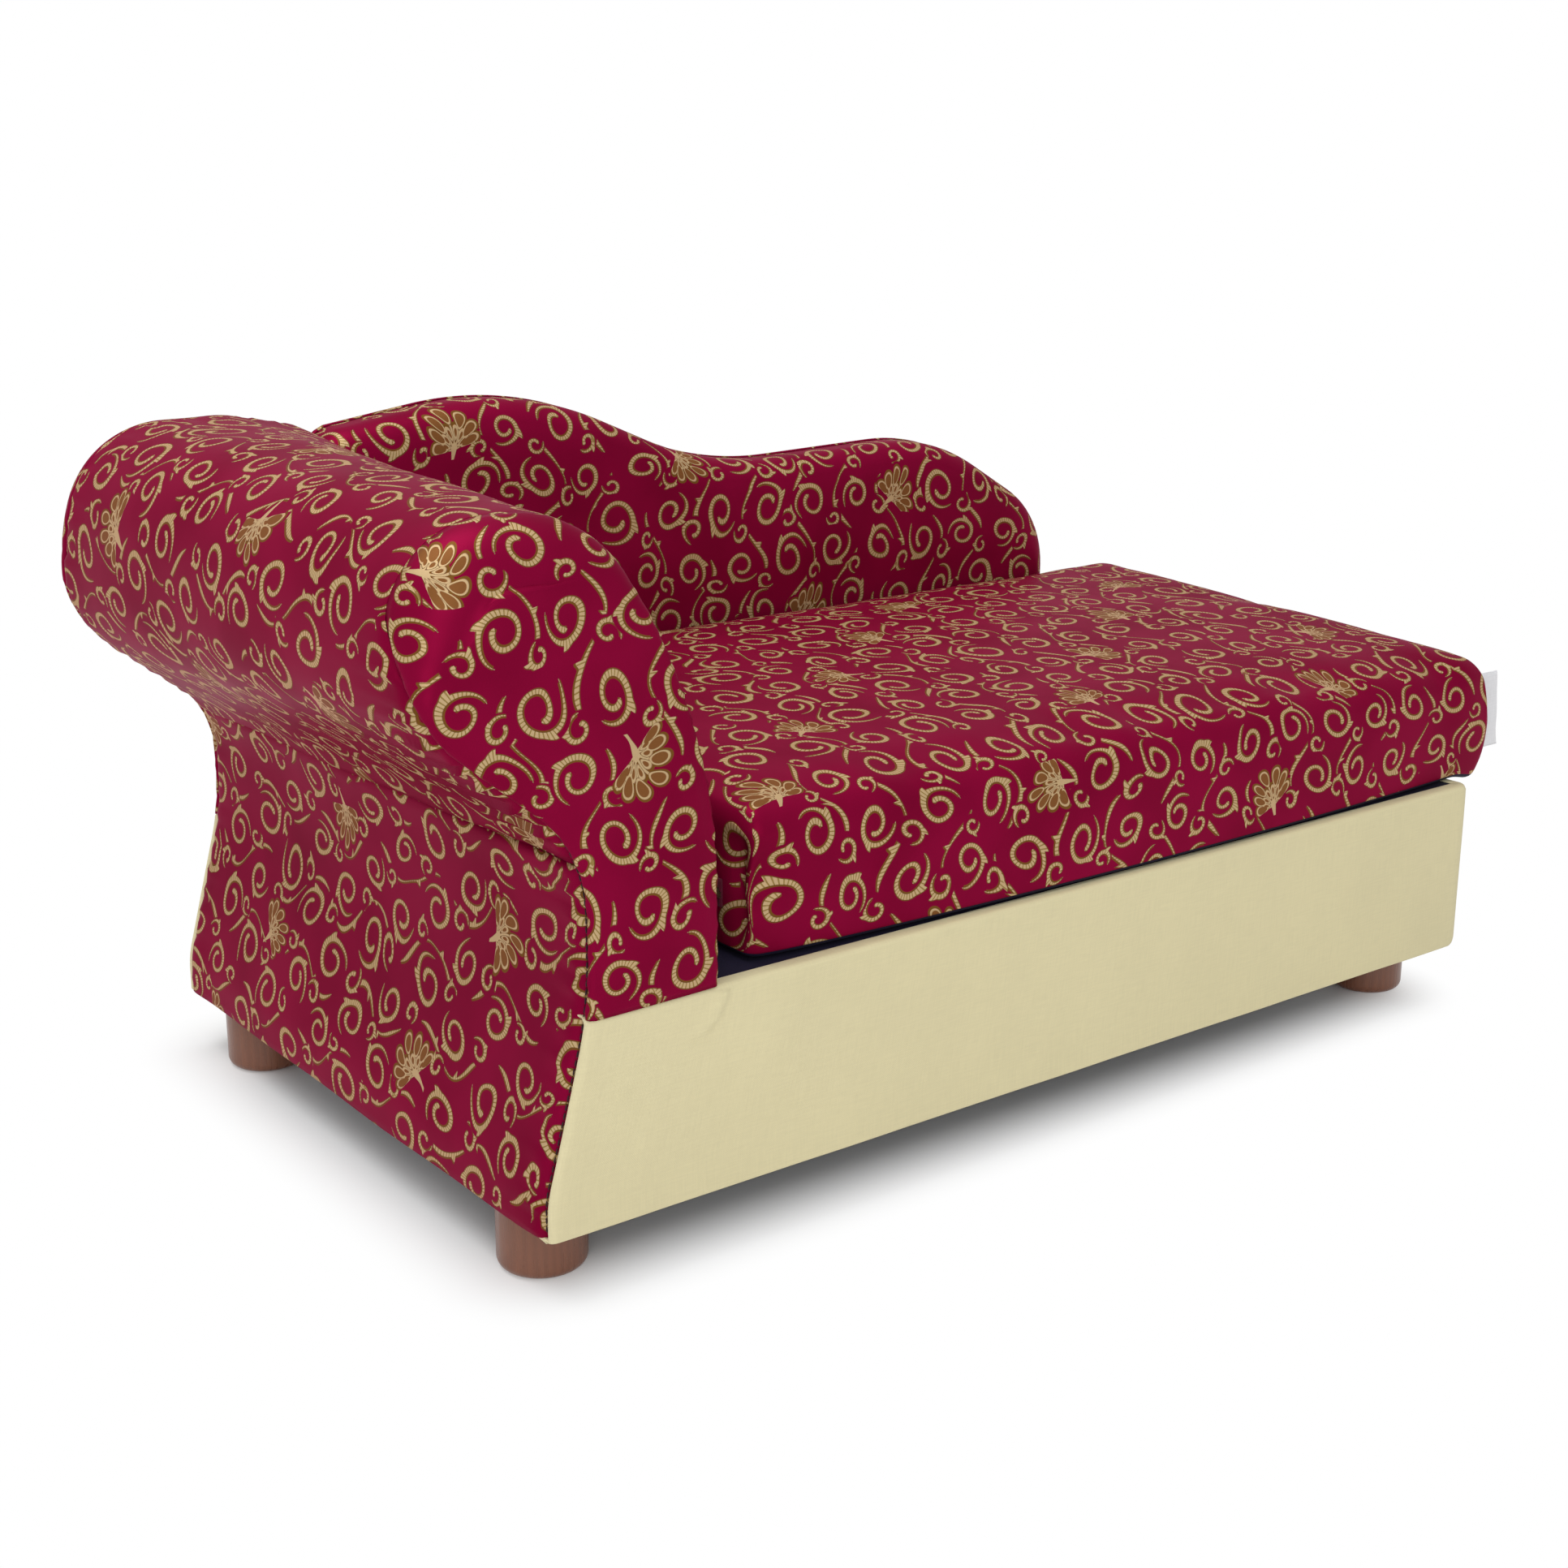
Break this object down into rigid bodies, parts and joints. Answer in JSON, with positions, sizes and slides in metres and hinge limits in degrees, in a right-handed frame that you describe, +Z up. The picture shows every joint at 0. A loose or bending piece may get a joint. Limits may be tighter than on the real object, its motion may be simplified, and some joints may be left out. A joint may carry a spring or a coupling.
{
  "type": "pet chaise lounge",
  "caption": "Cloth-covered pet chaise lounge: low base on short turned feet, scroll arm at the head end, waved padded backrest and a loose zipped seat cushion.",
  "frame": {"origin": "on the floor, under the middle of the overall box", "axes": "+X along the seat from the scroll arm to the open foot end, +Y from the open front to the backrest, +Z up"},
  "size_m": [0.867, 0.46, 0.422],
  "materials": {
    "brocade": "satin",
    "base_weave": "matte",
    "deck_weave": "matte",
    "dust_cloth": "matte",
    "foam": "matte",
    "pine": "matte",
    "plywood": "matte",
    "hardboard": "satin",
    "foot_wood": "satin",
    "screw_steel": "satin",
    "insert_brass": "satin",
    "zip_cloth": "matte",
    "zip_teeth": "satin",
    "zip_metal": "satin",
    "tab_cloth": "satin"
  },
  "bodies": {
    "frame": {"arm_battens": "pine", "arm_face_foam": "foam", "arm_front_cover": "brocade", "arm_front_panel": "plywood", "arm_outer_board": "hardboard", "arm_outer_cover": "brocade", "arm_post": "pine", "arm_rear_cover": "brocade", "arm_rear_foam": "foam", "arm_rear_panel": "plywood", "arm_roll_board": "hardboard", "arm_roll_cover": "brocade", "arm_screws": "screw_steel", "arm_wrap_foam": "foam", "back_front_cover": "brocade", "back_padding": "foam", "back_panel": "plywood", "back_post": "pine", "back_rear_cover": "brocade", "back_screws": "screw_steel", "base_cover": "base_weave", "base_cross_rails": "pine", "base_foot_rail": "pine", "base_front_rail": "pine", "base_head_rail": "pine", "base_rear_rail": "pine", "corner_blocks": "pine", "deck_board": "plywood", "deck_cloth": "deck_weave", "deck_rear_batten": "pine", "deck_screws": "screw_steel", "dust_cover": "dust_cloth", "foot_bolts": "screw_steel", "foot_end_back": "foot_wood", "foot_end_front": "foot_wood", "foot_head_back": "foot_wood", "foot_head_front": "foot_wood", "foot_inserts": "insert_brass", "joining_bolts": "screw_steel"},
    "cushion": {"cushion_foam": "foam", "cushion_cover": "brocade", "cushion_base_cloth": "deck_weave", "cushion_tab": "tab_cloth", "zip_tape": "zip_cloth", "zip_chain": "zip_teeth"},
    "zip_slider": {"zip_slider": "zip_metal"},
    "zip_pull": {"zip_pull": "zip_metal"}
  },
  "joints": [
    {"name": "cushion_lift", "type": "slide", "parent": "frame", "child": "cushion", "axis": [0, 0, 1], "range_m": [0, 0.2]},
    {"name": "zip_slide", "type": "slide", "parent": "cushion", "child": "zip_slider", "axis": [0, 1, 0], "range_m": [0, 0.302]},
    {"name": "zip_pull_hinge", "type": "hinge", "parent": "zip_slider", "child": "zip_pull", "pos_m": [-0.2344, -0.181, 0.192], "axis": [0, 0, 1], "range_deg": [0, 170]}
  ]
}
